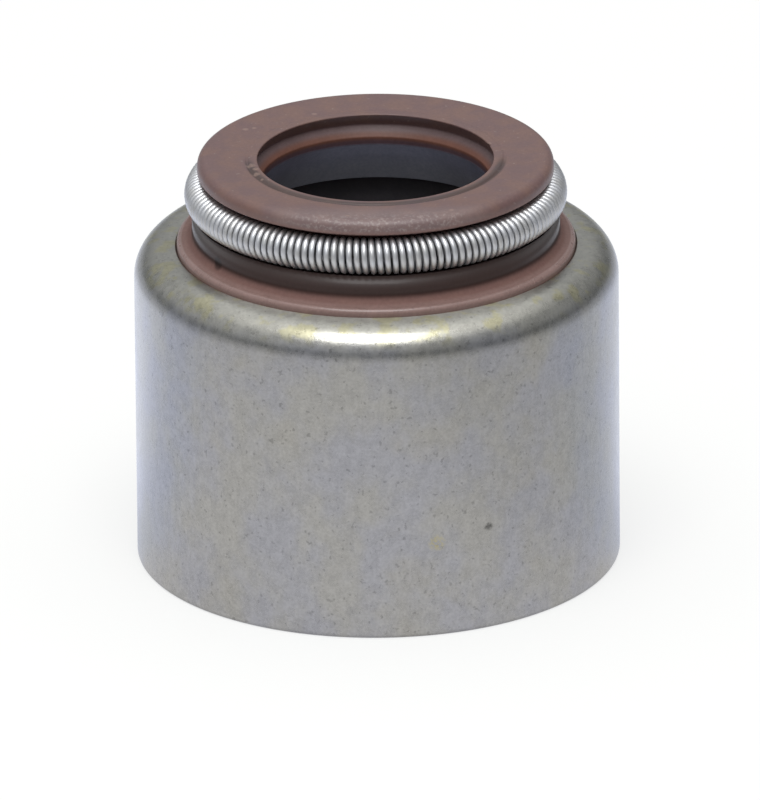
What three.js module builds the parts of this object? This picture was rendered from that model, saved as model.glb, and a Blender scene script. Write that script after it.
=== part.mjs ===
// Valve stem seal: a moulded rubber seal in a drawn steel case, with a garter spring round its lip.
// It is pressed over the end of an engine's valve guide, and the valve stem runs through its lip.
// Sizes are in millimetres and +Z is up. The origin is the centre of the case's lower rim.
import * as THREE from 'three';
import { ParametricGeometry } from 'three/addons/geometries/ParametricGeometry.js';

// Sealing lip and the stem that runs in it
const stemDiameter = 8;
const lipInterference = 0.7;
const lipWall = 1.22;

// Bore above the lip, from the dished top face down
const faceDish = 0.07;
const mouthStandoff = 0.1;
const undercutReach = 0.23;
const undercutDepth = 0.41;
const lipFaceDrop = 0.3;
const lipLand = 0.26;

// Bore below the lip
const lipConeFlare = 0.75;
const lipConeLength = 1.43;
const reliefStep = 0.5;
const reliefSlope = 0.15;

// Head over the spring
const headOverhang = 0.15;
const headEdgeHeight = 0.46;
const headRounding = 0.3;

// Garter spring and its groove
const wireDiameter = 0.2;
const coilDiameter = 1.2;
const turnClearance = 0.004;
const springSeatGap = 0.05;
const springHeadGap = 0.18;

// Neck, and the skirt at its foot that closes the hole in the case
const neckLedge = 0.36;
const neckHeight = 0.65;
const skirtFillet = 0.31;
const skirtLand = 0.02;
const skirtEdgeRadius = 0.17;
const skirtThickness = 0.24;

// Steel case
const caseHeight = 10.48;
const caseWall = 0.8;
const caseShoulder = 0.98;
const rimBreak = 0.1;

// Largest shares of the case's flat top and of its flange that the bends outside and inside may take
const shoulderShare = 0.98;
const bendShare = 0.9;

// Liner that grips the valve guide, and the film that bonds the rubber to the steel
const guideSeatWidth = 1.2;
const guideSeatPad = 0.68;
const linerWall = 0.83;
const linerRecess = 0.5;
const linerLeadIn = 0.4;
const bondGap = 0.02;

// Fineness of the round shapes
const roundSegments = 64;
const segmentsPerTurn = 8;
const wireSides = 4;

// Radii, from the stem outwards
const lipRadius = (stemDiameter - lipInterference) / 2;
const mouthRadius = lipRadius + mouthStandoff;
const undercutRadius = mouthRadius + undercutReach;
const throatRadius = lipRadius + lipConeFlare;
const reliefRadius = throatRadius + reliefStep;
const wireRadius = wireDiameter / 2;
const coilRadius = coilDiameter / 2;
const grooveRadius = coilRadius + springSeatGap;
const springRadius = lipRadius + lipWall + grooveRadius;
const headRadius = springRadius + headOverhang;
const neckRadius = springRadius + neckLedge;
const skirtRadius = neckRadius + skirtFillet + skirtLand + skirtEdgeRadius;
const caseHoleRadius = skirtRadius + bondGap;
const guideRadius = reliefRadius + guideSeatWidth;
const linerRadius = guideRadius + linerWall;
const caseInnerRadius = linerRadius + bondGap;
const caseOuterRadius = caseInnerRadius + caseWall;

// Heights, from the case's top upwards
const skirtTop = caseHeight + skirtThickness;
const neckBase = skirtTop + skirtFillet;
const neckTop = neckBase + neckHeight;
const springHeight = neckTop + Math.sqrt(grooveRadius ** 2 - neckLedge ** 2);
const headUnderside = springHeight + coilRadius + springHeadGap;
const headTop = headUnderside + headEdgeHeight;

// Heights, from the head's top and the case's top downwards
const mouthHeight = headTop - faceDish;
const undercutHeight = mouthHeight - undercutDepth;
const lipTop = undercutHeight - lipFaceDrop;
const lipBase = lipTop - lipLand;
const throatHeight = lipBase - lipConeLength;
const reliefTop = throatHeight - reliefSlope;
const flangeUnderside = caseHeight - caseWall;
const padTop = flangeUnderside - bondGap;
const guideSeatHeight = padTop - guideSeatPad;

// The shoulder is limited by the width of the case's top, and the bend inside it by the flange
const shoulderRadius = Math.min(caseShoulder, shoulderShare * (caseOuterRadius - caseHoleRadius));
const flangeWidth = caseInnerRadius - caseHoleRadius;
const bendRadius = Math.min(Math.max(shoulderRadius - caseWall, 2 * bondGap), bendShare * flangeWidth);

// A round stretch of a profile, from one angle to another about a centre
function arc(centreRadius, centreHeight, radius, fromDegrees, toDegrees, steps) {
  const points = [];
  for (let step = 0; step <= steps; step += 1) {
    const angle = THREE.MathUtils.degToRad(fromDegrees + ((toDegrees - fromDegrees) * step) / steps);
    points.push(
      new THREE.Vector2(centreRadius + radius * Math.cos(angle), centreHeight + radius * Math.sin(angle)),
    );
  }
  return points;
}

function corner(radius, height) {
  return new THREE.Vector2(radius, height);
}

// A closed profile of radius and height, turned round the Z axis
function turned(name, profile, material) {
  const geometry = new THREE.LatheGeometry([...profile, profile[0]], roundSegments);
  geometry.rotateX(Math.PI / 2);
  const mesh = new THREE.Mesh(geometry, material);
  mesh.name = name;
  return mesh;
}

// Steel cup, open below, with its edge turned in round the rubber at the top
function makeCase() {
  const profile = [
    corner(caseInnerRadius + rimBreak, 0),
    corner(caseOuterRadius - rimBreak, 0),
    corner(caseOuterRadius, rimBreak),
    ...arc(caseOuterRadius - shoulderRadius, caseHeight - shoulderRadius, shoulderRadius, 0, 90, 8),
    corner(caseHoleRadius, caseHeight),
    corner(caseHoleRadius, flangeUnderside),
    ...arc(caseInnerRadius - bendRadius, flangeUnderside - bendRadius, bendRadius, 90, 0, 3),
    corner(caseInnerRadius, rimBreak),
  ];
  const steel = new THREE.MeshStandardMaterial({ color: 0x9a9894, roughness: 0.42, metalness: 1 });
  return turned('steel_case', profile, steel);
}

// Outside of the rubber, from the liner's lower end up to the head's top face
function rubberOutside() {
  const ledgeAngle = THREE.MathUtils.radToDeg(Math.acos(neckLedge / grooveRadius));
  const bend = bendRadius - bondGap;
  return [
    corner(linerRadius, linerRecess),
    ...arc(caseInnerRadius - bendRadius, flangeUnderside - bendRadius, bend, 0, 90, 3),
    corner(skirtRadius, padTop),
    ...arc(skirtRadius - skirtEdgeRadius, skirtTop - skirtEdgeRadius, skirtEdgeRadius, 0, 90, 3),
    ...arc(neckRadius + skirtFillet, neckBase, skirtFillet, 270, 180, 4),
    ...arc(springRadius, springHeight, grooveRadius, 360 - ledgeAngle, 100, 10),
    corner(headRadius, headUnderside),
    ...arc(headRadius - headRounding, headTop - headRounding, headRounding, 0, 90, 4),
  ];
}

// Inside of the rubber, from the stem hole down to the liner's lower end
function rubberInside() {
  return [
    corner(mouthRadius, mouthHeight),
    corner(undercutRadius, undercutHeight),
    corner(lipRadius, lipTop),
    corner(lipRadius, lipBase),
    corner(throatRadius, throatHeight),
    corner(reliefRadius, reliefTop),
    corner(reliefRadius, guideSeatHeight),
    corner(guideRadius, guideSeatHeight),
    corner(guideRadius, linerRecess + linerLeadIn),
    corner(guideRadius + linerLeadIn, linerRecess),
  ];
}

function makeRubber() {
  const rubber = new THREE.MeshStandardMaterial({ color: 0x7c6a66, roughness: 0.55, metalness: 0 });
  return turned('rubber_seal', [...rubberOutside(), ...rubberInside()], rubber);
}

// Endless coil of round wire, bent into a ring and close-wound at the inside of the ring
function makeSpring() {
  const windingRadius = coilRadius - wireRadius;
  const innermostCircle = 2 * Math.PI * (springRadius - windingRadius);
  const turns = Math.floor(innermostCircle / (wireDiameter + turnClearance));
  const outward = new THREE.Vector3();
  const along = new THREE.Vector3();
  const place = (u, v, target) => {
    const ringAngle = 2 * Math.PI * u;
    const coilAngle = -turns * ringAngle;
    const wireAngle = 2 * Math.PI * v;
    outward.set(Math.cos(ringAngle) * Math.cos(coilAngle), Math.sin(ringAngle) * Math.cos(coilAngle),
      Math.sin(coilAngle));
    along.set(-Math.sin(ringAngle), Math.cos(ringAngle), 0);
    target.set(springRadius * Math.cos(ringAngle), springRadius * Math.sin(ringAngle), springHeight);
    target.addScaledVector(outward, windingRadius + wireRadius * Math.cos(wireAngle));
    target.addScaledVector(along, wireRadius * Math.sin(wireAngle));
  };
  const geometry = new ParametricGeometry(place, turns * segmentsPerTurn, wireSides);
  const wire = new THREE.MeshStandardMaterial({ color: 0xb4b6b8, roughness: 0.3, metalness: 1 });
  const mesh = new THREE.Mesh(geometry, wire);
  mesh.name = 'garter_spring';
  return mesh;
}

const valveStemSeal = new THREE.Group();
valveStemSeal.add(makeCase(), makeRubber(), makeSpring());

export default valveStemSeal;
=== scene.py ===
# %% [markdown]
# A valve stem seal sits on the end of an engine's valve guide and wipes the oil off the valve stem.
# It is three pieces: a drawn steel case, a brown rubber moulding bonded into it, and a garter spring
# that hugs the rubber's lip. Each of them is round about one axis, so each is a surface of revolution
# or a coil round that axis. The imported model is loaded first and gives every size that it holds.

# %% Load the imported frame
import math

import bpy
import numpy as np
from mathutils import Matrix, Vector


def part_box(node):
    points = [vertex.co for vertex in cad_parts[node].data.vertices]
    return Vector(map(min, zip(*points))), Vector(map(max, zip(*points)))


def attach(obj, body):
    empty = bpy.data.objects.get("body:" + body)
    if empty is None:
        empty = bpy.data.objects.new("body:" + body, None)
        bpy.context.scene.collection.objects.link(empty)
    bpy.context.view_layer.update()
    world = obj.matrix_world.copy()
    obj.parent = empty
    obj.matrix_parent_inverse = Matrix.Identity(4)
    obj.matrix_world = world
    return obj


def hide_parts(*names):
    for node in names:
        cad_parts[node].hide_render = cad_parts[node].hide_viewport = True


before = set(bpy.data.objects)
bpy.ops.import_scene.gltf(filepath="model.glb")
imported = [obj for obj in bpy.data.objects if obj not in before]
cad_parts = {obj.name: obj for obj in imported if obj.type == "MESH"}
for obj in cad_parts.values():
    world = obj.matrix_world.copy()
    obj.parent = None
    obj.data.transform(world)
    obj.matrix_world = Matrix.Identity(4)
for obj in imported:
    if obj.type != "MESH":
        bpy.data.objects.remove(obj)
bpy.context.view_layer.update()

# %% [markdown]
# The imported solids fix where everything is. The case's box gives its radius and its top, the rubber's
# box gives the liner and the head's top, and the spring's box gives the ring and its coils. What a box
# can't tell, such as a lip's depth, is written once below as a real size.

# %% Sizes of the seal
MM = 0.001
case_radius, case_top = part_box("steel_case")[1][0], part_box("steel_case")[1][2]
liner_radius, head_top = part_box("rubber_seal")[1][0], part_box("rubber_seal")[1][2]
liner_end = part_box("rubber_seal")[0][2]
spring_low, spring_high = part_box("garter_spring")
coil_radius = (spring_high[2] - spring_low[2]) / 2
spring_height = (spring_high[2] + spring_low[2]) / 2
spring_radius = spring_high[0] - coil_radius
print("spring's ring and coil, radii in mm:", round(spring_radius / MM, 3), round(coil_radius / MM, 3))

# %% [markdown]
# The rest are real sizes. First come the case's wall and shoulder, then the rubber's radii from the head
# to the guide's bore, then its heights, counted from the top face and from the case's top.

# %% Radii and heights
case_wall = 0.8 * MM
shoulder_radius = 1.05 * MM
bond_film = 0.02 * MM
case_bore = liner_radius + bond_film
flange_underside = case_top - case_wall

head_radius = spring_radius + 0.18 * MM
crest_radius = head_radius - 0.6 * MM
neck_radius = spring_radius + 0.36 * MM
skirt_radius = neck_radius + 0.5 * MM
groove_radius = coil_radius + 0.05 * MM
lip_radius = 3.65 * MM
mouth_radius = lip_radius + 0.1 * MM
undercut_radius = mouth_radius + 0.23 * MM
throat_radius = lip_radius + 0.75 * MM
relief_radius = throat_radius + 0.5 * MM
guide_radius = relief_radius + 1.2 * MM

mouth_height = head_top - 0.05 * MM
undercut_height = mouth_height - 0.43 * MM
lip_top = undercut_height - 0.3 * MM
lip_base = lip_top - 0.26 * MM
throat_height = lip_base - 1.43 * MM
relief_top = throat_height - 0.15 * MM
head_underside = head_top - 0.46 * MM
skirt_top = case_top + 0.24 * MM
pad_top = flange_underside - bond_film
guide_seat = pad_top - 0.68 * MM
print("case radius and top, mm:", round(case_radius / MM, 3), round(case_top / MM, 3))

# %% [markdown]
# An outline is a list of corners, each a radius, a height and how round it is. A real edge is never
# sharp: drawing, trimming and moulding all leave a small rounding, and that rounding is what catches
# the light. So the corners are rounded by formula, and long straight stretches get points in between.


# %% Outlines with rounded corners
def arc(centre, radius, start, end, step=8):
    """Points on a circle about centre, from one angle to another in degrees, one each step degrees."""
    count = max(2, math.ceil(abs(end - start) / step) + 1)
    angle = np.radians(np.linspace(start, end, count))
    return np.stack([centre[0] + radius * np.cos(angle), centre[1] + radius * np.sin(angle)], axis=1)


def rounded(corners):
    """An open line through corners of (radius, height, rounding).

    A corner is cut back along both sides by rounding / tan(half its angle). Its arc's centre lies on the
    corner's bisector, at rounding / sin(half its angle) from the corner.
    """
    places = np.array([corner[:2] for corner in corners], dtype=float)
    stretches = [places[:1]]
    for before, place, after, corner in zip(places, places[1:], places[2:], corners[1:]):
        back = (before - place) / np.linalg.norm(before - place)
        ahead = (after - place) / np.linalg.norm(after - place)
        half = math.acos(np.clip(back @ ahead, -1, 1)) / 2
        rounding = corner[2]
        centre = place + (back + ahead) / np.linalg.norm(back + ahead) * rounding / math.sin(half)
        first = place + back * rounding / math.tan(half) - centre
        last = place + ahead * rounding / math.tan(half) - centre
        start = math.degrees(math.atan2(first[1], first[0]))
        sweep = math.degrees(math.atan2(first[0] * last[1] - first[1] * last[0], first @ last))
        stretches.append(arc(centre, rounding, start, start + sweep))
    return np.vstack([*stretches, places[-1:]])


def spread(outline, spacing):
    """The closed outline with points added so that no two neighbours lie further apart than spacing."""
    pieces = []
    for start, end in zip(outline, np.roll(outline, -1, axis=0)):
        count = max(1, math.ceil(np.linalg.norm(end - start) / spacing))
        pieces.append(start + (end - start) * np.linspace(0, 1, count, endpoint=False)[:, None])
    return np.vstack(pieces)


# %% [markdown]
# Every skin here is a grid of points that closes on itself both ways, like the skin of a ring. One
# function turns such a grid into a mesh: it lists four corners for each cell as whole arrays, so even
# the spring's thousands of faces take no loop.


# %% Skins and turned shapes
def skin(name, grid):
    """A closed mesh from a grid of points, rows along the first way and columns along the second.

    Cell (i, j) joins points (i, j), (i + 1, j), (i + 1, j + 1) and (i, j + 1), counted round the grid.
    """
    rows, columns = grid.shape[:2]
    index = np.arange(rows * columns).reshape(rows, columns)
    below = np.roll(index, -1, axis=0)
    cells = np.stack([index, below, np.roll(below, -1, axis=1), np.roll(index, -1, axis=1)], axis=-1)
    mesh = bpy.data.meshes.new(name)
    mesh.vertices.add(rows * columns)
    mesh.vertices.foreach_set("co", grid.astype(np.float32).ravel())
    mesh.loops.add(4 * rows * columns)
    mesh.loops.foreach_set("vertex_index", cells.astype(np.int32).ravel())
    mesh.polygons.add(rows * columns)
    mesh.polygons.foreach_set("loop_start", np.arange(0, 4 * rows * columns, 4, dtype=np.int32))
    mesh.update(calc_edges=True)
    mesh.validate()
    mesh.shade_smooth()
    piece = bpy.data.objects.new(name, mesh)
    bpy.context.scene.collection.objects.link(piece)
    print(name, "has", len(mesh.polygons), "faces")
    return piece


def turned(name, outline, segments, shift=None):
    """Turns a closed outline of (radius, height) round the Z axis: x = r cos a, y = r sin a, z = height.

    shift gives each point's small change of radius and height from its angle, radius and height.
    """
    angle = np.linspace(0, 2 * np.pi, segments, endpoint=False)[:, None]
    radius = np.broadcast_to(outline[:, 0], (segments, len(outline)))
    height = np.broadcast_to(outline[:, 1], (segments, len(outline)))
    if shift:
        outwards, upwards = shift(angle, radius, height)
        radius, height = radius + outwards, height + upwards
    return skin(name, np.stack([radius * np.cos(angle), radius * np.sin(angle), height], axis=-1))


# %% [markdown]
# The case is drawn from sheet steel: a disc is pushed through a die into a cup, and its floor, which is
# the top here, is pierced to leave a narrow flange. Drawing leaves the big shoulder, piercing a crisp
# edge round the hole, and trimming a plain rim. Its outline runs up the outside and down the inside.

# %% Steel case
CASE_SEGMENTS = 320
rim_break = 0.1 * MM
case_hole = skirt_radius + bond_film
bend_radius = shoulder_radius - case_wall

case_outline = rounded([
    (case_bore + 0.4 * case_wall, 0, 0),
    (case_radius, 0, rim_break),
    (case_radius, case_top, shoulder_radius),
    (case_hole, case_top, 0.05 * MM),
    (case_hole, flange_underside, 0.04 * MM),
    (case_bore, flange_underside, bend_radius),
    (case_bore, 0, rim_break),
    (case_bore + 0.4 * case_wall, 0, 0),
])[:-1]
case = turned("drawn_case", spread(case_outline, 0.4 * MM), CASE_SEGMENTS)

# %% [markdown]
# The rubber is one moulding: the head with its stem hole, the groove for the spring, the neck, the
# small skirt that closes the case's hole, and the liner inside. Its outline runs up the outside, over
# the dished top face, and down the bore with its undercut, sealing lip, cone and guide seat.

# %% Outline of the rubber
ledge_angle = math.degrees(math.acos((neck_radius - spring_radius) / groove_radius))

lower_outline = rounded([
    (guide_radius + 0.6 * (liner_radius - guide_radius), liner_end, 0),
    (liner_radius, liner_end, 0.05 * MM),
    (liner_radius, pad_top, bend_radius - bond_film),
    (skirt_radius, pad_top, 0),
    (skirt_radius, skirt_top, 0.17 * MM),
    (neck_radius, skirt_top, 0.31 * MM),
    (neck_radius, spring_height - groove_radius * math.sin(math.radians(ledge_angle)), 0),
])
groove_outline = arc((spring_radius, spring_height), groove_radius, 360 - ledge_angle, 100)
head_outline = rounded([
    tuple(groove_outline[-1]) + (0,),
    (head_radius, head_underside, 0.06 * MM),
    (head_radius, head_top - 0.005 * MM, 0.3 * MM),
    (crest_radius, head_top, 1.6 * MM),
    (mouth_radius, mouth_height, 0.04 * MM),
    (undercut_radius, undercut_height, 0.07 * MM),
    (lip_radius, lip_top, 0.08 * MM),
    (lip_radius, lip_base, 0.12 * MM),
    (throat_radius, throat_height, 0.05 * MM),
    (relief_radius, relief_top, 0.04 * MM),
    (relief_radius, guide_seat, 0.06 * MM),
    (guide_radius, guide_seat, 0.08 * MM),
    (guide_radius, liner_end + 0.4 * MM, 0.1 * MM),
    (guide_radius + 0.4 * MM, liner_end, 0.04 * MM),
    (guide_radius + 0.6 * (liner_radius - guide_radius), liner_end, 0),
])
seal_outline = spread(np.vstack([lower_outline[:-1], groove_outline, head_outline[1:-1]]), 0.7 * MM)

# The top face gets closely set rings of points, because the trim ring is worked into it
FACE_RINGS = 36
radii, heights = seal_outline.T
face_start = np.argmax((radii < head_radius - 0.3 * MM) & (heights > mouth_height))
face_end = np.argmax((radii < mouth_radius + 0.05 * MM) & (heights > undercut_height + 0.2 * MM))
face_rings = np.linspace(seal_outline[face_start], seal_outline[face_end], FACE_RINGS)
seal_outline = np.vstack([seal_outline[:face_start], face_rings, seal_outline[face_end + 1:]])
print("rubber outline:", len(seal_outline), "points")

# %% [markdown]
# Where the mould's core shuts, the flash is trimmed off. That leaves a low flat ring round the stem
# hole with a fine groove outside it, clearest over the front half, a few torn bits standing up, and a
# chip out of the mouth. All are far smaller than a face of the solid, so they are small shifts here.

# %% Trim ring, flash and chip
SEAL_SEGMENTS = 360
ring_radius = mouth_radius + 0.31 * MM
trim_radius = ring_radius + 0.06 * MM
ring_rise = 0.02 * MM
groove_depth = 0.05 * MM
chip_reach = 0.05 * MM
chip_drop = 0.04 * MM

# Torn flash: angle in degrees from +X, radius in mm, rise in mm, width in mm
flash = np.array([
    (-171, 4.03, 0.040, 0.10),
    (-166, 3.93, 0.045, 0.07),
    (-160, 4.04, 0.035, 0.08),
    (-153, 4.08, 0.030, 0.05),
    (149, 4.84, 0.035, 0.06),
    (146, 4.67, 0.030, 0.05),
    (117, 4.30, 0.030, 0.06),
    (17, 3.80, 0.035, 0.06),
    (-100, 5.20, 0.020, 0.05),
    (-63, 5.28, 0.020, 0.05),
])
chip_angle = math.radians(16)


def from_angle(angle, centre):
    """Angle from centre, between -pi and pi."""
    return np.mod(angle - centre + np.pi, 2 * np.pi) - np.pi


def trim_shift(angle, radius, height):
    """Changes the top face by its trim ring, its groove, its flash and its chip.

    The ring stands up by ring_rise, with an S-shaped step at its edge. The groove is a bell curve across
    the radius and fades out over the back half. A bit of flash lifts the face by
    rise * exp(-(distance / width) squared), and the chip is such a bell curve downwards and outwards.
    """
    near_top = height > mouth_height - 0.06 * MM
    inner = near_top * (radius < head_radius - 0.3 * MM)
    front = 1 / (1 + np.exp((np.sin(angle) - 0.02) / 0.05))
    wander = 0.012 * MM * np.sin(5 * angle + 1) + 0.006 * MM * np.sin(17 * angle)
    ring = 0.5 + 0.5 * np.tanh((ring_radius + wander - radius) / (0.02 * MM))
    groove = np.exp(-(((radius - trim_radius - wander) / (0.035 * MM)) ** 2))
    upwards = inner * (ring_rise * (ring - 1) - groove_depth * groove * (0.12 + 0.88 * front))
    for degrees, flash_radius, rise, width in flash:
        around = from_angle(angle, math.radians(degrees)) * radius
        distance = np.hypot(around, radius - flash_radius * MM) / (width * MM)
        upwards = upwards + near_top * rise * MM * np.exp(-distance**2)
    chipped = near_top * np.exp(-(((radius - mouth_radius) / (0.09 * MM)) ** 2))
    chipped = chipped * np.exp(-((from_angle(angle, chip_angle) * radius / (0.07 * MM)) ** 2))
    return chip_reach * chipped, np.minimum(upwards - chip_drop * chipped, head_top - height)


seal = turned("moulded_seal", seal_outline, SEAL_SEGMENTS, trim_shift)

# %% [markdown]
# A garter spring is a long close-wound coil bent into a ring, with its tapered end screwed into its
# other end. Its wire is a circle carried along the coil: the ring angle u goes round once while the
# coil angle goes round once for each turn, so one formula gives every turn of it.

# %% Garter spring
wire_radius = 0.1 * MM
turn_clearance = 0.004 * MM
STEPS_PER_TURN = 20
WIRE_SIDES = 8

winding_radius = coil_radius - wire_radius
tightest_circle = 2 * math.pi * (spring_radius - winding_radius)
turn_count = int(tightest_circle / (2 * wire_radius + turn_clearance))
ring_angle = np.linspace(0, 2 * np.pi, turn_count * STEPS_PER_TURN, endpoint=False)[:, None]
coil_angle = -turn_count * ring_angle
wire_angle = np.linspace(0, 2 * np.pi, WIRE_SIDES, endpoint=False)[None, :]

# Distance from the coil's own centre line, and along the ring, of each point on the wire's skin
reach = winding_radius + wire_radius * np.cos(wire_angle)
sideways = wire_radius * np.sin(wire_angle)
from_axis = spring_radius + reach * np.cos(coil_angle)
coil = skin("coiled_spring", np.stack([
    from_axis * np.cos(ring_angle) - sideways * np.sin(ring_angle),
    from_axis * np.sin(ring_angle) + sideways * np.cos(ring_angle),
    spring_height + reach * np.sin(coil_angle) + 0 * sideways,
], axis=-1))
print("spring turns:", turn_count)

# %% [markdown]
# Finishes are built from nodes, with no pictures. Two helpers keep them short: one adds a node and sets
# or joins its sockets, and the other starts a material that has one shader.


# %% Nodes and materials
def add(tree, kind, inputs=(), **settings):
    """Adds a node of that kind, with its properties and its input sockets set or joined."""
    made = tree.nodes.new("ShaderNode" + kind)
    for name, value in settings.items():
        setattr(made, name, value)
    for name, value in dict(inputs).items():
        if isinstance(value, bpy.types.NodeSocket):
            tree.links.new(value, made.inputs[name])
        else:
            made.inputs[name].default_value = value
    return made


def surface(name, **constants):
    """A new material with one Principled shader, and its sockets set to the given constants."""
    material = bpy.data.materials.new(name)
    material.use_nodes = True
    tree = material.node_tree
    tree.nodes.clear()
    shader = add(tree, "BsdfPrincipled", {key.replace("_", " "): value for key, value in constants.items()})
    add(tree, "OutputMaterial", {"Surface": shader.outputs[0]})
    return material, tree, shader


# %% [markdown]
# Every pattern works on the piece's own coordinates, scaled so that one unit is a millimetre. They give
# a point's distance from the axis, its height and its depth, so a colour can follow the seal's parts.


# %% Where a point is
def millimetres(tree, stretch=(1, 1, 1)):
    """The piece's own coordinates in millimetres, with each axis multiplied by stretch."""
    place = add(tree, "TexCoord").outputs["Object"]
    scale = tuple(1000 * along for along in stretch)
    return add(tree, "VectorMath", {0: place, 1: scale}, operation="MULTIPLY").outputs[0]


def radius_of(tree, place):
    """Distance from the seal's axis."""
    flat = add(tree, "VectorMath", {0: place, 1: (1, 1, 0)}, operation="MULTIPLY").outputs[0]
    return add(tree, "VectorMath", {0: flat}, operation="LENGTH").outputs["Value"]


def height_of(tree, place):
    """Height above the case's rim."""
    return add(tree, "SeparateXYZ", {0: place}).outputs["Z"]


def depth_of(tree, place):
    """Distance behind the seal's axis, so it is negative in front."""
    return add(tree, "SeparateXYZ", {0: place}).outputs["Y"]


# %% [markdown]
# The patterns are numbers. Noise through a ramp makes patches, and ramps multiplied together make a
# mask that is 1 on one part of the seal and 0 elsewhere.


# %% Patterns of numbers
def noise(tree, place, size, detail=2.0):
    """Cloudy pattern from 0 to 1 with blotches of about that size."""
    return add(tree, "TexNoise", {"Vector": place, "Scale": 1 / size, "Detail": detail}).outputs["Fac"]


def ramp(tree, value, start, end, low=0.0, high=1.0):
    """Goes smoothly from low to high as value goes from start to end."""
    sockets = {"Value": value, "From Min": start, "From Max": end, "To Min": low, "To Max": high}
    return add(tree, "MapRange", sockets, interpolation_type="SMOOTHSTEP").outputs[0]


def times(tree, first, second):
    """Product of two numbers."""
    return add(tree, "Math", {0: first, 1: second}, operation="MULTIPLY").outputs[0]


def plus(tree, first, second):
    """Sum of two numbers."""
    return add(tree, "Math", {0: first, 1: second}, operation="ADD").outputs[0]


# %% [markdown]
# Those numbers then blend two colours, darken one, or stand up as a fine relief. A spot is a mask round
# one place, and a place on the case's side is easiest to give as an angle and a height.


# %% Colours, spots and relief
def blend(tree, share, first, second):
    """Colour that goes from first to second as share goes from 0 to 1."""
    mixer = add(tree, "Mix", {"Factor": share}, data_type="RGBA")
    for number, colour in ((6, first), (7, second)):
        if isinstance(colour, bpy.types.NodeSocket):
            tree.links.new(colour, mixer.inputs[number])
        else:
            mixer.inputs[number].default_value = (*colour, 1)
    return mixer.outputs[2]


def shade(tree, colour, light):
    """The colour with all its three parts multiplied by one number."""
    return add(tree, "VectorMath", {0: colour, "Scale": light}, operation="SCALE").outputs[0]


def spot(tree, place, centre, size):
    """1 at a point on the piece, falling to 0 at size from it."""
    away = add(tree, "VectorMath", {0: place, 1: centre}, operation="DISTANCE").outputs["Value"]
    return ramp(tree, away, size, 0.3 * size)


def relief(tree, shader, pattern, depth):
    """Joins a pattern to the shader's normal as a relief that many metres deep."""
    bump = add(tree, "Bump", {"Height": pattern, "Distance": depth, "Strength": 1.0}).outputs[0]
    tree.links.new(bump, shader.inputs["Normal"])


def on_case(degrees, height):
    """Point on the case's side in millimetres, from its angle and height."""
    angle = math.radians(degrees)
    return (case_radius / MM * math.cos(angle), case_radius / MM * math.sin(angle), height)


# %% [markdown]
# The case is bare drawn steel. Rolling and drawing leave a satin surface with a fine mottled grain,
# faint streaks along the draw and an olive-yellow film near the shoulder. The metal mirrors its
# surroundings, so its colour is the share of light that it gives back, and grain shows as roughness.


# %% Colour of the steel
CASE_TOP = case_top / MM
YELLOW_SPOT = on_case(-76.2, 3.19)
DARK_PIT = on_case(-63.1, 3.49)


def steel_colour(tree, place, upright, grain):
    """Grey in bluer and yellower patches, with an olive film that grows over the shoulder."""
    height = height_of(tree, place)
    patches = noise(tree, upright, 1.8, 4)
    colour = blend(tree, ramp(tree, patches, 0.36, 0.64), (0.334, 0.336, 0.353), (0.350, 0.345, 0.325))
    film = ramp(tree, noise(tree, place, 2.1, 3), 0.54, 0.72, 0, 0.5)
    colour = blend(tree, film, colour, (0.348, 0.337, 0.302))

    bent = ramp(tree, height, CASE_TOP - 0.73, CASE_TOP - 0.23)
    colour = blend(tree, bent, colour, (0.345, 0.341, 0.310))
    stain = times(tree, bent, ramp(tree, noise(tree, place, 0.7, 4), 0.50, 0.62, 0, 0.8))
    colour = blend(tree, stain, colour, (0.362, 0.345, 0.225))
    yellow = times(tree, spot(tree, place, YELLOW_SPOT, 0.36), ramp(tree, grain, 0.35, 0.6))
    return blend(tree, yellow, colour, (0.365, 0.335, 0.225))


def steel_light(tree, place, mottle, grain):
    """Product of the mottling, grain, streaks, dark specks, painted contact shade along the lower rim and
    one dark pit.
    """
    streaks = noise(tree, millimetres(tree, (1, 1, 0.1)), 0.12, 2)
    light = times(tree, ramp(tree, mottle, 0.3, 0.7, 0.92, 1.07), ramp(tree, grain, 0.25, 0.75, 0.92, 1.07))
    light = times(tree, light, ramp(tree, streaks, 0.3, 0.7, 0.987, 1.013))
    light = times(tree, light, ramp(tree, noise(tree, place, 0.15, 2), 0.62, 0.72, 1, 0.74))
    # Painted contact shade: the steel darkens towards its lower rim, where it meets the floor.
    light = times(tree, light, ramp(tree, height_of(tree, place), 0.16, 0.03, 1, 0.75))
    pit = times(tree, spot(tree, place, DARK_PIT, 0.2), ramp(tree, grain, 0.3, 0.6, 0.5, 1))
    return times(tree, light, ramp(tree, pit, 0, 1, 1, 0.4))


# %% [markdown]
# The flat top round the rubber is dull with oxide, most at the front. Oxide scatters part of the light
# that clean steel mirrors, so there the shader is less metallic and rougher.


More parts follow.
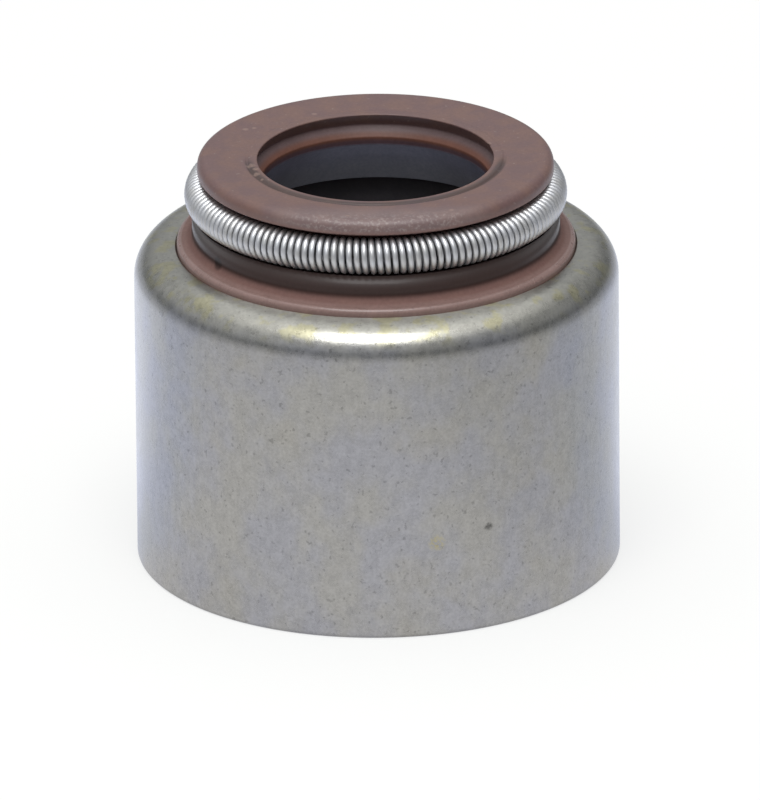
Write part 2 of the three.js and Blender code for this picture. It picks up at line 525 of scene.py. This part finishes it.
# %% Drawn steel
def drawn_steel():
    """Joins the steel's colour and light to its shader, with dullness by height and depth."""
    material, tree, shader = surface("drawn_steel", Metallic=1.0)
    place = millimetres(tree)
    upright = millimetres(tree, (1, 1, 0.8))
    mottle = noise(tree, upright, 0.3, 5)
    grain = noise(tree, place, 0.09, 3)
    colour = steel_colour(tree, place, upright, grain)
    light = steel_light(tree, place, mottle, grain)
    tree.links.new(shade(tree, colour, light), shader.inputs["Base Color"])

    flat_top = ramp(tree, height_of(tree, place), CASE_TOP - 0.18, CASE_TOP - 0.03)
    dull = times(tree, flat_top, ramp(tree, depth_of(tree, place), -3, -6, 0.15, 1))
    tree.links.new(ramp(tree, dull, 0, 1, 1, 0.45), shader.inputs["Metallic"])
    shine = ramp(tree, mottle, 0.25, 0.75, 0.24, 0.32)
    rough = add(tree, "Math", {0: dull, 1: 0.2, 2: shine}, operation="MULTIPLY_ADD").outputs[0]
    tree.links.new(rough, shader.inputs["Roughness"])
    relief(tree, shader, grain, 0.003 * MM)
    return material


case.data.materials.append(drawn_steel())

# %% [markdown]
# The rubber is a matt brown fluoroelastomer. Its open faces are a dusty grey-brown, the lip and the
# neck a redder brown, and the cone inside is painted grey-blue as a reflection of the floor lit through
# the hole. The colour follows where a point is on the moulding, so masks come first: each is 1 on one
# part and 0 elsewhere, from the radius and height.

# %% Parts of the moulding
HEAD_TOP, LIP_TOP = head_top / MM, lip_top / MM
CONE_FOOT, RELIEF_TOP = throat_height / MM, relief_top / MM
SKIRT_TOP, SKIRT_EDGE = skirt_top / MM, skirt_radius / MM - 0.18
TRIM_RADIUS = trim_radius / MM
BORE_EDGE = relief_radius / MM + 0.2
# The band under the spring that is painted dark as shade and also carries the oil film.
OIL_AND_SHADE_FROM, OIL_AND_SHADE_TO = SKIRT_TOP + 0.06, 12.1


def bore_mask(tree, place):
    """Nearer the axis than BORE_EDGE, which lies just outside the bore's relief."""
    return ramp(tree, radius_of(tree, place), BORE_EDGE, BORE_EDGE - 0.1)


def lip_mask(tree, place):
    """In the bore from the undercut down, so on the lip and all that lies below it."""
    below = ramp(tree, height_of(tree, place), HEAD_TOP - 0.35, HEAD_TOP - 0.5)
    return times(tree, bore_mask(tree, place), below)


def oil_and_spring_shade_mask(tree, place):
    """On the neck under the spring: the band painted dark as the spring's shade, which also holds a film of
    oil.
    """
    height = height_of(tree, place)
    above = ramp(tree, height, OIL_AND_SHADE_FROM, OIL_AND_SHADE_FROM + 0.32)
    return times(tree, above, ramp(tree, height, OIL_AND_SHADE_TO, OIL_AND_SHADE_TO - 0.2))


# %% [markdown]
# The face gathers pale dust. Its rounded front edge is paler, partly from dust and partly as painted
# sheen, with painted highlight specks. The neck is a redder, cleaner brown, and under the spring it
# holds oil and is darkened with painted shade from the spring.


# %% Face and neck of the rubber
def face_colour(tree, place, clouds):
    """Grey-brown, then dust, then a front that is paler partly from dust and partly as painted sheen, then
    painted highlight specks on the front rounding, each laid over the last.
    """
    depth = depth_of(tree, place)
    face = blend(tree, ramp(tree, clouds, 0.35, 0.65), (0.122, 0.068, 0.065), (0.130, 0.072, 0.060))
    dust = ramp(tree, noise(tree, place, 0.14, 2), 0.66, 0.78, 0, 0.5)
    face = blend(tree, dust, face, (0.26, 0.21, 0.19))
    # Painted sheen, partly dust: the face grows paler and greyer towards its front edge.
    face = blend(tree, ramp(tree, depth, -4.0, -5.0, 0, 0.5), face, (0.170, 0.125, 0.122))
    # Painted highlight, partly dust: pale specks only on the front rounding, where the lamp's highlight
    # lies.
    specks = ramp(tree, noise(tree, place, 0.09, 2), 0.48, 0.68, 0, 0.5)
    return blend(tree, times(tree, specks, ramp(tree, depth, -4.6, -5.3)), face, (0.28, 0.235, 0.225))


NECK_STAIN = (-5.03, -3.04, 11.03)


def neck_colour(tree, place, clouds):
    """Red-brown, paler on the skirt, multiplied by painted shade under the spring and by the dark of one
    stain.
    """
    height = height_of(tree, place)
    neck = blend(tree, ramp(tree, clouds, 0.3, 0.7), (0.170, 0.094, 0.080), (0.145, 0.080, 0.070))
    on_skirt = ramp(tree, height, SKIRT_TOP + 0.08, SKIRT_TOP - 0.02, 0, 0.8)
    neck = blend(tree, on_skirt, neck, (0.215, 0.140, 0.125))
    # Painted shade: the neck under the spring is darkened where the spring and the head shade it.
    neck = shade(tree, neck, ramp(tree, oil_and_spring_shade_mask(tree, place), 0, 1, 1, 0.22))
    return shade(tree, neck, ramp(tree, spot(tree, place, NECK_STAIN, 0.32), 0, 1, 1, 0.4))


# %% [markdown]
# Down the bore the colours change with the height alone: a grey-brown lip with a redder edge, a band of
# painted shade just under that edge, the cone painted grey-blue as a reflection of the floor lit through
# the hole, and near black below it, where no light comes back.


# %% Bore of the rubber
def bore_colour(tree, place, colour):
    """Lays the lip, its edge, the painted shade under the edge, the cone's painted reflection and the
    painted shade of the deep part over the given colour, in that order.
    """
    height = height_of(tree, place)
    in_bore = bore_mask(tree, place)
    lip_edge = ramp(tree, height, LIP_TOP + 0.2, LIP_TOP + 0.05)
    lip_colour = blend(tree, lip_edge, (0.122, 0.080, 0.080), (0.125, 0.054, 0.038))
    # Painted shade: a dark band just under the sealing edge, which shades it.
    sealing_edge_shade = ramp(tree, height, LIP_TOP - 0.02, LIP_TOP - 0.16)
    lip_colour = blend(tree, sealing_edge_shade, lip_colour, (0.075, 0.045, 0.052))
    colour = blend(tree, lip_mask(tree, place), colour, lip_colour)
    # Painted reflection: the cone's grey-blue is the floor, lit through the hole, mirrored in the rubber.
    cone_reflection_colour = blend(tree, ramp(tree, height, 12.3, 11.2), (0.205, 0.212, 0.280), (0.215, 0.222, 0.252))
    cone = times(tree, in_bore, ramp(tree, height, LIP_TOP - 0.2, LIP_TOP - 0.32))
    colour = blend(tree, cone, colour, cone_reflection_colour)
    deep = times(tree, in_bore, ramp(tree, height, CONE_FOOT, RELIEF_TOP))
    return blend(tree, deep, colour, (0.055, 0.053, 0.058))


# %% [markdown]
# The trim groove is darkened with painted shade over the front half, where the groove is deep, and the
# torn bits of flash are paler than the face, because torn rubber is rough and holds dust.


# %% Painted shade in the groove and torn flash
def trim_colour(tree, place, colour):
    """Darkens a ring between two radii at the front as painted shade in the groove, then lays a pale spot
    on each bit of flash.
    """
    radius = radius_of(tree, place)
    outwards = ramp(tree, radius, TRIM_RADIUS - 0.32, TRIM_RADIUS - 0.08)
    groove = times(tree, outwards, ramp(tree, radius, TRIM_RADIUS + 0.15, TRIM_RADIUS - 0.02))
    groove = times(tree, groove, ramp(tree, height_of(tree, place), HEAD_TOP - 0.18, HEAD_TOP - 0.14))
    groove = times(tree, groove, ramp(tree, depth_of(tree, place), 0.4, -0.9))
    # Painted shade: the groove's ring, deepest at the front, is made darker.
    colour = shade(tree, colour, ramp(tree, groove, 0, 1, 1, 0.4))
    for degrees, flash_radius, _, width in flash:
        angle = math.radians(degrees)
        on_face = (flash_radius * math.cos(angle), flash_radius * math.sin(angle), HEAD_TOP)
        torn = ramp(tree, spot(tree, place, on_face, 2.4 * width), 0, 1, 0, 0.5)
        colour = blend(tree, torn, colour, (0.25, 0.17, 0.14))
    return colour


# %% [markdown]
# The sheen varies too. The fillet at the neck's foot is matt, the skirt's edge is rubbed smooth, and
# the oil on the neck is a thin clear coat that mirrors the room at its sides.


# %% Brown rubber
def brown_rubber():
    """Joins the rubber's colours to its shader, with sheen and oil by radius, height and depth."""
    material, tree, shader = surface("brown_rubber", Metallic=0.0, Coat_Roughness=0.16)
    place = millimetres(tree)
    height, radius = height_of(tree, place), radius_of(tree, place)
    clouds = noise(tree, place, 0.8, 4)
    grain = noise(tree, place, 0.1, 3)
    below_face = ramp(tree, height, HEAD_TOP - 0.3, HEAD_TOP - 0.45)
    colour = blend(tree, below_face, face_colour(tree, place, clouds), neck_colour(tree, place, clouds))
    colour = trim_colour(tree, place, bore_colour(tree, place, colour))
    light = times(tree, ramp(tree, clouds, 0.3, 0.7, 0.94, 1.06), ramp(tree, grain, 0.25, 0.75, 0.93, 1.07))
    tree.links.new(shade(tree, colour, light), shader.inputs["Base Color"])

    outside = ramp(tree, bore_mask(tree, place), 1, 0)
    fillet = times(tree, ramp(tree, radius, SKIRT_EDGE + 0.06, SKIRT_EDGE - 0.02), outside)
    fillet = times(tree, fillet, ramp(tree, height, SKIRT_TOP + 0.43, SKIRT_TOP + 0.23))
    on_edge = ramp(tree, height, SKIRT_TOP - 0.22, SKIRT_TOP - 0.12)
    rubbed = times(tree, ramp(tree, radius, SKIRT_EDGE, SKIRT_EDGE + 0.08), on_edge)
    matt = plus(tree, times(tree, fillet, 0.3), times(tree, rubbed, -0.14))
    tree.links.new(plus(tree, ramp(tree, clouds, 0.2, 0.8, 0.38, 0.46), matt), shader.inputs["Roughness"])

    oily = oil_and_spring_shade_mask(tree, place)
    mirror = times(tree, ramp(tree, oily, 0, 1, 0.5, 0.3), ramp(tree, lip_mask(tree, place), 0, 1, 1, 0.4))
    mirror = times(tree, mirror, ramp(tree, fillet, 0, 1, 1, 0.35))
    tree.links.new(mirror, shader.inputs["Specular IOR Level"])
    wet = ramp(tree, height, OIL_AND_SHADE_FROM + 0.22, OIL_AND_SHADE_FROM + 0.62)
    oil_film = times(tree, times(tree, oily, outside), wet)
    oil_film = times(tree, oil_film, ramp(tree, depth_of(tree, place), -4.8, -2.8, 0.15, 1))
    tree.links.new(oil_film, shader.inputs["Coat Weight"])
    relief(tree, shader, grain, 0.002 * MM)
    return material


seal.data.materials.append(brown_rubber())

# %% [markdown]
# The spring is bright hard-drawn wire. Each turn is a small cylinder, so each shows its own highlight,
# and the gaps between the turns stay dark because little light gets in.


# %% Spring wire
def spring_wire():
    """Pale metal whose colour follows its tarnish and whose roughness follows its scratches."""
    material, tree, shader = surface("spring_wire", Metallic=0.9)
    place = millimetres(tree)
    tarnish = noise(tree, place, 0.5, 3)
    scratches = noise(tree, place, 0.05, 2)
    colour = blend(tree, ramp(tree, tarnish, 0.35, 0.7), (0.60, 0.61, 0.635), (0.55, 0.55, 0.55))
    tree.links.new(colour, shader.inputs["Base Color"])
    tree.links.new(ramp(tree, scratches, 0.2, 0.8, 0.33, 0.44), shader.inputs["Roughness"])
    relief(tree, shader, scratches, 0.0015 * MM)
    return material


coil.data.materials.append(spring_wire())

# %% [markdown]
# Each new piece stands for the solid that it was measured from and rides on the seal's one body.

# %% Join the pieces to the frame
for piece, node, slot in (
    (case, "steel_case", "case_steel"),
    (seal, "rubber_seal", "seal_rubber"),
    (coil, "garter_spring", "spring_wire"),
):
    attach(piece, "root")
    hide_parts(node)

# %% [markdown]
# The seal stands on a white floor, one square that reaches far past the view. It is staging for the
# picture and no piece of the seal.

# %% Floor
HALF_FLOOR = 3.0
floor_mesh = bpy.data.meshes.new("floor")
floor_corners = [(x * HALF_FLOOR, y * HALF_FLOOR, 0) for x, y in ((-1, -1), (1, -1), (1, 1), (-1, 1))]
floor_mesh.from_pydata(floor_corners, [], [(0, 1, 2, 3)])
floor = bpy.data.objects.new("floor", floor_mesh)
bpy.context.scene.collection.objects.link(floor)


# %% [markdown]
# The camera sees most of the floor's white as plain light, so that it stays white, and the rest as a
# lit surface, so that it still takes a soft shadow. Mirror-like rays see it brighter and bluer behind
# the seal, where more daylight falls, and darker far out and on the right. Other rays see plain white.


# %% White of the floor
def mirrored_colour(tree):
    """The floor as mirrors see it, from its distance and from behind = depth / distance aside."""
    place = millimetres(tree)
    across, depth, _ = add(tree, "SeparateXYZ", {0: place}).outputs
    aside = add(tree, "Math", {0: across}, operation="ABSOLUTE").outputs[0]
    aside = add(tree, "Math", {0: aside, 1: 1.0}, operation="MAXIMUM").outputs[0]
    behind = add(tree, "Math", {0: depth, 1: aside}, operation="DIVIDE").outputs[0]
    mirrored = blend(tree, ramp(tree, behind, -0.35, 0.1), (0.70, 0.695, 0.735), (0.635, 0.675, 0.82))
    mirrored = shade(tree, mirrored, ramp(tree, behind, 0.05, 0.8, 1, 1.43))
    mirrored = shade(tree, mirrored, ramp(tree, across, 4, 18, 1, 0.78))
    return shade(tree, mirrored, ramp(tree, radius_of(tree, place), 20, 70, 1, 0.4))


def white_floor():
    """Mixes three floors by the kind of ray: for the camera, for mirrors, and for all the rest."""
    material = bpy.data.materials.new("white_floor")
    material.use_nodes = True
    tree = material.node_tree
    tree.nodes.clear()
    rays = add(tree, "LightPath").outputs
    shaded = add(tree, "BsdfDiffuse", {"Color": (0.25, 0.25, 0.235, 1)}).outputs[0]
    white = add(tree, "Emission", {"Color": (0.98, 0.985, 1, 1), "Strength": 0.68}).outputs[0]
    mirror_light = add(tree, "Emission", {"Color": mirrored_colour(tree), "Strength": 1.0}).outputs[0]
    mirrored_shaded = add(tree, "AddShader", {0: shaded, 1: mirror_light}).outputs[0]
    camera_shaded = add(tree, "AddShader", {0: shaded, 1: white}).outputs[0]
    plain = add(tree, "BsdfDiffuse", {"Color": (0.66, 0.66, 0.67, 1)}).outputs[0]
    mixed = add(tree, "MixShader", {0: rays["Is Glossy Ray"], 1: plain, 2: mirrored_shaded}).outputs[0]
    mixed = add(tree, "MixShader", {0: rays["Is Camera Ray"], 1: mixed, 2: camera_shaded}).outputs[0]
    add(tree, "OutputMaterial", {"Surface": mixed})
    return material


floor.data.materials.append(white_floor())

# %% [markdown]
# One soft lamp hangs over the seal, towards the camera and a little left. It makes the white streak
# along the shoulder and the bright dot on each turn of the spring.

# %% Lamp
SEAL_MIDDLE = Vector((0, 0, 8 * MM))


def soft_lamp(name, direction, distance, size, radiance):
    """A rectangular lamp looking at the seal. Its watts are pi * area * radiance."""
    light = bpy.data.lights.new(name, "AREA")
    light.shape = "RECTANGLE"
    light.size, light.size_y = size
    light.energy = math.pi * size[0] * size[1] * radiance
    lamp = bpy.data.objects.new(name, light)
    away = Vector(direction).normalized()
    lamp.location = SEAL_MIDDLE + away * distance
    lamp.rotation_euler = away.to_track_quat("Z", "Y").to_euler()
    bpy.context.scene.collection.objects.link(lamp)
    return lamp


soft_lamp("top_lamp", (-0.042, -0.38, 0.925), 0.5, (0.295, 0.30), 4.8)

# %% [markdown]
# The room around is a pale grey that darkens towards the horizon and on the right, which gives the
# shoulder its darker band below the streak. Overhead it glows, as a lit ceiling does.

# %% Room
room = bpy.data.worlds.new("room")
bpy.context.scene.world = room
room.use_nodes = True
room_tree = room.node_tree
room_tree.nodes.clear()
facing = add(room_tree, "TexCoord").outputs["Generated"]
rightwards, _, climb = add(room_tree, "SeparateXYZ", {0: facing}).outputs
wall_colour = blend(room_tree, ramp(room_tree, climb, 0.15, 0.42), (0.31, 0.32, 0.33), (0.64, 0.65, 0.665))
wall_colour = shade(room_tree, wall_colour, ramp(room_tree, rightwards, 0.0, 0.6, 1, 0.74))
wall_colour = shade(room_tree, wall_colour, ramp(room_tree, rightwards, -0.3, -0.8, 1, 1.1))
room_colour = blend(room_tree, ramp(room_tree, climb, 0.62, 0.9), wall_colour, (1.5, 1.5, 1.5))
room_light = add(room_tree, "Background", {"Color": room_colour, "Strength": 1.0}).outputs[0]
add(room_tree, "OutputWorld", {"Surface": room_light})

# %% [markdown]
# The camera looks down on the seal from the front with a very long lens, as the near-parallel sides of
# the case show. The photograph is 800 pixels high and 760 wide, so its scale is set over the height.

# %% Camera
PHOTO_HEIGHT = 800
focal_pixels = 22657
view_elevation = math.radians(22.13)
view_distance = 0.7263
view_roll = math.radians(0.5)
aim = Vector((0.08 * MM, 0, 5.05 * MM))

lens = bpy.data.cameras.new("camera")
lens.sensor_width = 36
lens.lens = focal_pixels / PHOTO_HEIGHT * lens.sensor_width
camera = bpy.data.objects.new("camera", lens)
bpy.context.scene.collection.objects.link(camera)
bpy.context.scene.camera = camera
back = Vector((0, -math.cos(view_elevation), math.sin(view_elevation)))
right = Vector((1, 0, 0))
upward = back.cross(right)
turn = Matrix.Rotation(-view_roll, 3, back)
camera.rotation_euler = Matrix((turn @ right, turn @ upward, back)).transposed().to_euler()
camera.location = aim + back * view_distance

# %% [markdown]
# The view transform stays Standard, so colours render as they are written.

# %% View transform
bpy.context.scene.view_settings.view_transform = "Standard"
